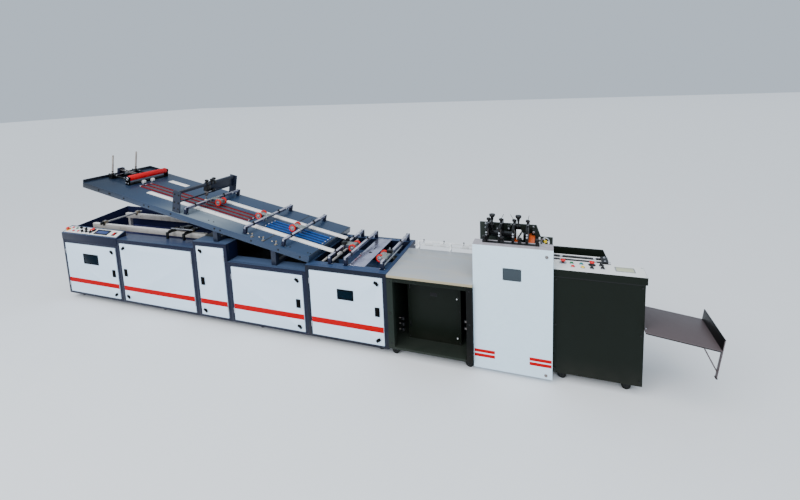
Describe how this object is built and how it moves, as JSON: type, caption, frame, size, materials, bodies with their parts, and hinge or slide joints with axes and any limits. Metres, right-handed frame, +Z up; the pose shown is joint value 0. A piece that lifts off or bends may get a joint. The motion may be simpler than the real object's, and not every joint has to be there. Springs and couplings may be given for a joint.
{
  "type": "paper pasting machine",
  "caption": "Paper pasting line: low cabinets with hinged doors under a sloping belt deck, then a feed table, press tower, console and delivery tray.",
  "frame": {"origin": "floor level under the middle of the machine", "axes": "+X runs along the line from the feed end to the delivery tray, +Y from the door side to the back, +Z up"},
  "size_m": [7.3472, 1.038, 1.8867],
  "materials": {
    "navy_paint": "satin slate navy paint",
    "dark_navy_paint": "satin navy paint",
    "white_paint": "cool white powder coat",
    "cream_paint": "cream paint",
    "dark_green_paint": "dark green-black paint",
    "grey_tabletop": "grey laminate",
    "bright_steel": "brushed bright steel",
    "black_paint": "satin black",
    "red_rubber": "red rubber",
    "blue_belt": "blue belt",
    "orange_roller": "orange rubber"
  },
  "bodies": {
    "line": {"bay_frame_1": "navy_paint", "bay_frame_2": "navy_paint", "bay_frame_3": "navy_paint", "bay_frame_4": "navy_paint", "bay_frame_5": "navy_paint", "blue_belts": "blue_belt", "cabinet_covers": "navy_paint", "cabinet_floor": "navy_paint", "cabinet_walls": "navy_paint", "clamp_lever": "black_paint", "console_back": "dark_green_paint", "console_cabinet": "dark_green_paint", "console_panel": "white_paint", "control_box": "navy_paint", "control_panel": "white_paint", "cross_bar_1": "bright_steel", "cross_bar_2": "bright_steel", "cross_bar_3": "bright_steel", "cross_bar_4": "bright_steel", "cross_bar_5": "bright_steel", "cross_bar_6": "bright_steel", "deck": "navy_paint", "deck_support_1": "navy_paint", "deck_support_2": "navy_paint", "delivery_bars": "bright_steel", "delivery_tray": "dark_green_paint", "end_trough": "dark_navy_paint", "feed_rails": "cream_paint", "feed_roller_stand": "black_paint", "feed_trough_floor": "dark_navy_paint", "gantry": "navy_paint", "guide_strip_far": "white_paint", "guide_strip_near": "white_paint", "inner_box": "dark_green_paint", "paper_guides": "black_paint", "red_belts": "red_rubber", "screw_bridge": "black_paint", "side_rail": "white_paint", "table_cabinet": "dark_green_paint", "table_top": "grey_tabletop", "tower_cover": "white_paint", "tower_housing": "dark_green_paint", "tower_rear_plate": "dark_green_paint", "trough_cylinders": "dark_green_paint", "trough_plate": "bright_steel"},
    "door_1_body": {"door_1": "white_paint"},
    "door_2_body": {"door_2": "white_paint"},
    "door_3_body": {"door_3": "white_paint"},
    "door_4_body": {"door_4": "white_paint"},
    "door_5_body": {"door_5": "white_paint"},
    "press_roller_1_body": {"press_roller_1": "orange_roller"},
    "press_roller_2_body": {"press_roller_2": "orange_roller"},
    "wheel_pair_1_body": {"wheel_pair_1": "red_rubber"},
    "wheel_pair_2_body": {"wheel_pair_2": "red_rubber"},
    "wheel_pair_3_body": {"wheel_pair_3": "red_rubber"},
    "wheel_pair_4_body": {"wheel_pair_4": "red_rubber"},
    "wheel_pair_5_body": {"wheel_pair_5": "red_rubber"},
    "feed_roller_body": {"feed_roller": "red_rubber"},
    "crank_wheel_body": {"crank_wheel": "bright_steel"}
  },
  "joints": [
    {"name": "door_1_hinge", "type": "hinge", "parent": "line", "child": "door_1_body", "pos_m": [-3.63055, -0.511, 0.436], "axis": [0, 0, -1], "range_deg": [0, 90]},
    {"name": "door_2_hinge", "type": "hinge", "parent": "line", "child": "door_2_body", "pos_m": [-1.49155, -0.511, 0.4725], "axis": [0, 0, 1], "range_deg": [0, 90]},
    {"name": "door_3_hinge", "type": "hinge", "parent": "line", "child": "door_3_body", "pos_m": [-1.01655, -0.511, 0.514], "axis": [0, 0, 1], "range_deg": [0, 90]},
    {"name": "door_4_hinge", "type": "hinge", "parent": "line", "child": "door_4_body", "pos_m": [-0.93055, -0.511, 0.415], "axis": [0, 0, -1], "range_deg": [0, 90]},
    {"name": "door_5_hinge", "type": "hinge", "parent": "line", "child": "door_5_body", "pos_m": [0.06945, -0.511, 0.4515], "axis": [0, 0, -1], "range_deg": [0, 90]},
    {"name": "press_roller_1_spin", "type": "hinge", "parent": "line", "child": "press_roller_1_body", "pos_m": [2.11205, -0.201, 1.181], "axis": [0, 1, 0], "continuous": true},
    {"name": "press_roller_2_spin", "type": "hinge", "parent": "line", "child": "press_roller_2_body", "pos_m": [2.24205, -0.201, 1.181], "axis": [0, 1, 0], "continuous": true},
    {"name": "wheel_pair_1_spin", "type": "hinge", "parent": "line", "child": "wheel_pair_1_body", "pos_m": [-1.47657, 0.0225, 1.29921], "axis": [0, 1, 0], "continuous": true},
    {"name": "wheel_pair_2_spin", "type": "hinge", "parent": "line", "child": "wheel_pair_2_body", "pos_m": [-0.86923, 0.005, 1.17454], "axis": [0, 1, 0], "continuous": true},
    {"name": "wheel_pair_3_spin", "type": "hinge", "parent": "line", "child": "wheel_pair_3_body", "pos_m": [-0.37944, -0.03, 1.07401], "axis": [0, 1, 0], "continuous": true},
    {"name": "wheel_pair_4_spin", "type": "hinge", "parent": "line", "child": "wheel_pair_4_body", "pos_m": [0.38645, -0.0525, 0.9163], "axis": [0, 1, 0], "continuous": true},
    {"name": "wheel_pair_5_spin", "type": "hinge", "parent": "line", "child": "wheel_pair_5_body", "pos_m": [0.78645, -0.24, 0.9163], "axis": [0, 1, 0], "continuous": true},
    {"name": "feed_roller_spin", "type": "hinge", "parent": "line", "child": "feed_roller_body", "pos_m": [-2.77478, 0.119, 1.58918], "axis": [0, 1, 0], "continuous": true},
    {"name": "crank_wheel_spin", "type": "hinge", "parent": "line", "child": "crank_wheel_body", "pos_m": [2.36905, -0.076, 1.15], "axis": [0, 1, 0], "continuous": true}
  ]
}
